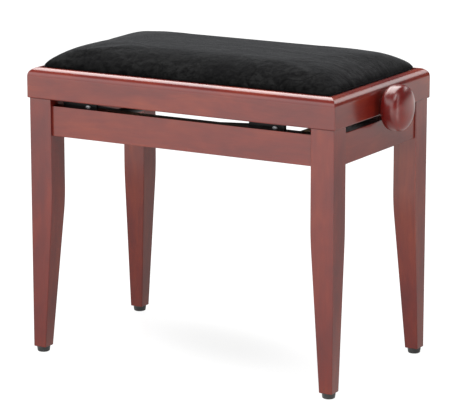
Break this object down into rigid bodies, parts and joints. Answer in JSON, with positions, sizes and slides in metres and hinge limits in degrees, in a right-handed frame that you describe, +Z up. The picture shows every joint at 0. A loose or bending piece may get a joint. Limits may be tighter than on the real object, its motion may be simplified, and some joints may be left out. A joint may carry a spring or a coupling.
{
  "type": "piano bench",
  "caption": "Rectangular wooden piano bench with tapered legs, a padded black velvet seat and a side knob that raises it on steel scissors.",
  "frame": {"origin": "on the floor, in the middle of the box that holds bench and knob", "axes": "+X to the knob, along the length; +Y to the back; +Z up"},
  "size_m": [0.604, 0.325, 0.5078],
  "materials": {
    "mahogany_wood": "satin lacquer over mahogany stain",
    "knob_wood": "gloss lacquer over mahogany stain",
    "beech_wood": "raw",
    "plywood": "raw",
    "black_steel": "satin black powder coat",
    "zinc_steel": "bright zinc plate",
    "brass": "machined",
    "glide_plastic": "matte",
    "foam": "open cell foam",
    "velvet": "short black pile"
  },
  "bodies": {
    "base": {"leg_front_left": "mahogany_wood", "leg_front_right": "mahogany_wood", "leg_back_left": "mahogany_wood", "leg_back_right": "mahogany_wood", "apron_front": "mahogany_wood", "apron_back": "mahogany_wood", "apron_left": "mahogany_wood", "apron_right": "mahogany_wood", "apron_dowels": "beech_wood", "corner_blocks": "beech_wood", "block_screws": "zinc_steel", "leg_bolts": "zinc_steel", "leg_bolt_washers": "zinc_steel", "leg_bolt_nuts": "zinc_steel", "foot_glides": "glide_plastic", "glide_nails": "zinc_steel", "lower_rail_front": "black_steel", "lower_rail_back": "black_steel", "lower_rail_screws": "zinc_steel", "lower_pivot_studs": "zinc_steel", "lower_pivot_clips": "zinc_steel"},
    "arm_frame_a": {"arm_front_a": "black_steel", "arm_back_a": "black_steel", "cross_tube": "black_steel", "centre_pins": "zinc_steel"},
    "arm_frame_b": {"arm_front_b": "black_steel", "arm_back_b": "black_steel", "cross_rod": "zinc_steel", "slide_spacers": "zinc_steel"},
    "carriage": {"carriage_yoke": "black_steel", "carriage_pins": "zinc_steel", "carriage_spacers": "zinc_steel", "spindle_nut": "brass", "nut_screws": "zinc_steel"},
    "knob_spindle": {"spindle": "zinc_steel", "spindle_collar": "zinc_steel", "knob_insert": "brass", "knob": "knob_wood"},
    "seat": {"upper_rail_front": "black_steel", "upper_rail_back": "black_steel", "upper_rail_screws": "zinc_steel", "upper_pivot_pins": "zinc_steel", "knob_washer": "zinc_steel", "spindle_bearing": "black_steel", "bearing_screws": "zinc_steel", "end_bracket": "black_steel", "end_bracket_screws": "zinc_steel", "seat_rail_front": "mahogany_wood", "seat_rail_back": "mahogany_wood", "seat_rail_left": "mahogany_wood", "seat_rail_right": "mahogany_wood", "seat_corner_blocks": "beech_wood", "seat_block_screws": "zinc_steel", "seat_board": "plywood", "foam_pad": "foam", "seat_cover": "velvet", "cover_staples": "zinc_steel"}
  },
  "joints": [
    {"name": "scissor_fold", "type": "hinge", "parent": "base", "child": "arm_frame_a", "pos_m": [-0.204, 0, 0.3869], "axis": [0, -1, 0], "range_deg": [0, 17.17]},
    {"name": "scissor_middle", "type": "hinge", "parent": "arm_frame_a", "child": "arm_frame_b", "pos_m": [-0.033, 0, 0.39765], "axis": [0, -1, 0], "range_deg": [-34.34, 0]},
    {"name": "seat_level", "type": "hinge", "parent": "arm_frame_b", "child": "seat", "pos_m": [-0.204, 0, 0.4084], "axis": [0, -1, 0], "range_deg": [0, 17.17]},
    {"name": "carriage_level", "type": "hinge", "parent": "arm_frame_a", "child": "carriage", "pos_m": [0.138, 0, 0.4084], "axis": [0, -1, 0], "range_deg": [-17.17, 0]},
    {"name": "knob_turn", "type": "hinge", "parent": "seat", "child": "knob_spindle", "pos_m": [0.258, 0, 0.4354], "axis": [1, 0, 0], "range_deg": [0, 4441]}
  ],
  "couplings": [
    {"joint": "scissor_middle", "follows": "scissor_fold", "ratio": -2},
    {"joint": "seat_level", "follows": "scissor_fold", "ratio": 1},
    {"joint": "carriage_level", "follows": "scissor_fold", "ratio": -1},
    {"joint": "knob_turn", "follows": "scissor_fold", "ratio": 258.6}
  ]
}
